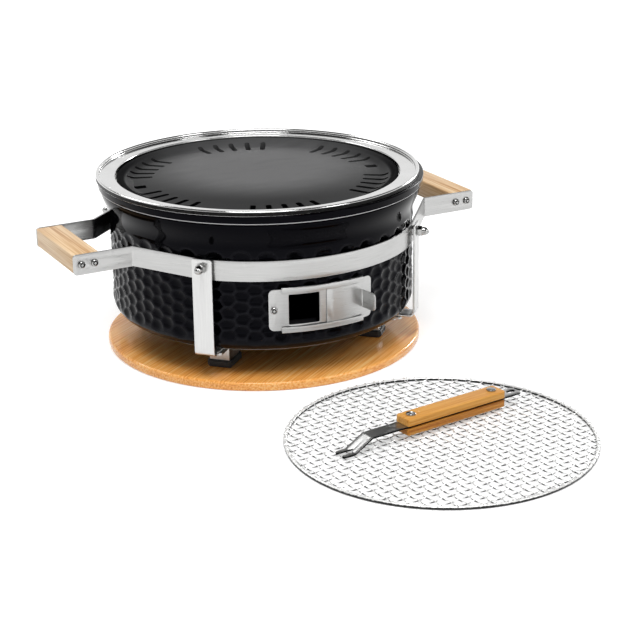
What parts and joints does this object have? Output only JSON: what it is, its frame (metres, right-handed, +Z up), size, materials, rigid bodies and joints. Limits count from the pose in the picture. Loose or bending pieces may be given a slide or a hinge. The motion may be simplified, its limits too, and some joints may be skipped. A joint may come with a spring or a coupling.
{
  "type": "table-top hibachi grill",
  "caption": "Round table-top charcoal grill: a glazed bowl in a steel strip frame with wooden handles, slotted griddle plate, sliding air vent, round board, wire grid and lifter.",
  "frame": {"origin": "centre of the board's underside", "axes": "+Z up; -Y towards the air vent, which is the front; X along the line of the two handles"},
  "size_m": [0.446, 0.6278, 0.18],
  "materials": {
    "stainless_steel": "satin",
    "bamboo": "oiled",
    "black_glaze": "gloss, dimpled wall",
    "black_cast_iron": "matt black, seasoned",
    "black_rubber": "matt"
  },
  "bodies": {
    "board": {"base_board": "bamboo"},
    "grill": {"bowl": "black_glaze", "front_band": "stainless_steel", "rear_band": "stainless_steel", "left_handle": "bamboo", "right_handle": "bamboo", "vent_frame": "stainless_steel", "left_vent_screw": "stainless_steel", "right_vent_screw": "stainless_steel", "left_handle_screw_1": "stainless_steel", "left_handle_screw_2": "stainless_steel", "left_handle_screw_3": "stainless_steel", "left_handle_screw_4": "stainless_steel", "right_handle_screw_1": "stainless_steel", "right_handle_screw_2": "stainless_steel", "right_handle_screw_3": "stainless_steel", "right_handle_screw_4": "stainless_steel", "front_left_leg": "stainless_steel", "front_left_foot": "stainless_steel", "front_left_foot_cap": "black_rubber", "front_left_foot_bolt": "stainless_steel", "front_left_leg_stud": "stainless_steel", "front_left_spacer_nut": "stainless_steel", "front_left_cap_nut": "stainless_steel", "front_right_leg": "stainless_steel", "front_right_foot": "stainless_steel", "front_right_foot_cap": "black_rubber", "front_right_foot_bolt": "stainless_steel", "front_right_leg_stud": "stainless_steel", "front_right_spacer_nut": "stainless_steel", "front_right_cap_nut": "stainless_steel", "rear_right_leg": "stainless_steel", "rear_right_foot": "stainless_steel", "rear_right_foot_cap": "black_rubber", "rear_right_foot_bolt": "stainless_steel", "rear_right_leg_stud": "stainless_steel", "rear_right_spacer_nut": "stainless_steel", "rear_right_cap_nut": "stainless_steel", "rear_left_leg": "stainless_steel", "rear_left_foot": "stainless_steel", "rear_left_foot_cap": "black_rubber", "rear_left_foot_bolt": "stainless_steel", "rear_left_leg_stud": "stainless_steel", "rear_left_spacer_nut": "stainless_steel", "rear_left_cap_nut": "stainless_steel"},
    "grate": {"charcoal_grate": "black_cast_iron", "front_left_grate_leg": "black_cast_iron", "front_right_grate_leg": "black_cast_iron", "rear_grate_leg": "black_cast_iron"},
    "ring": {"rim_ring": "stainless_steel"},
    "plate": {"griddle_plate": "black_cast_iron"},
    "door": {"vent_door": "stainless_steel"},
    "grid": {"cooking_grid": "stainless_steel"},
    "lifter": {"lifter_blade": "stainless_steel", "lifter_upper_scale": "bamboo", "lifter_lower_scale": "bamboo", "lifter_front_rivet": "stainless_steel", "lifter_rear_rivet": "stainless_steel"}
  },
  "joints": [
    {"name": "grill_lift", "type": "slide", "parent": "board", "child": "grill", "axis": [0, 0, 1], "range_m": [0, 0.15]},
    {"name": "grate_lift", "type": "slide", "parent": "grill", "child": "grate", "axis": [0, 0, 1], "range_m": [0, 0.05]},
    {"name": "ring_lift", "type": "slide", "parent": "grill", "child": "ring", "axis": [0, 0, 1], "range_m": [0, 0.1]},
    {"name": "plate_lift", "type": "slide", "parent": "ring", "child": "plate", "axis": [0, 0, 1], "range_m": [0, 0.1]},
    {"name": "vent_slide", "type": "hinge", "parent": "grill", "child": "door", "pos_m": [0, 0, 0.08], "axis": [0, 0, 1], "range_deg": [-14, 0]},
    {"name": "grid_lift", "type": "slide", "parent": "board", "child": "grid", "axis": [0, 0, 1], "range_m": [0, 0.1]},
    {"name": "lifter_lift", "type": "slide", "parent": "grid", "child": "lifter", "axis": [0, 0, 1], "range_m": [0, 0.1]}
  ]
}
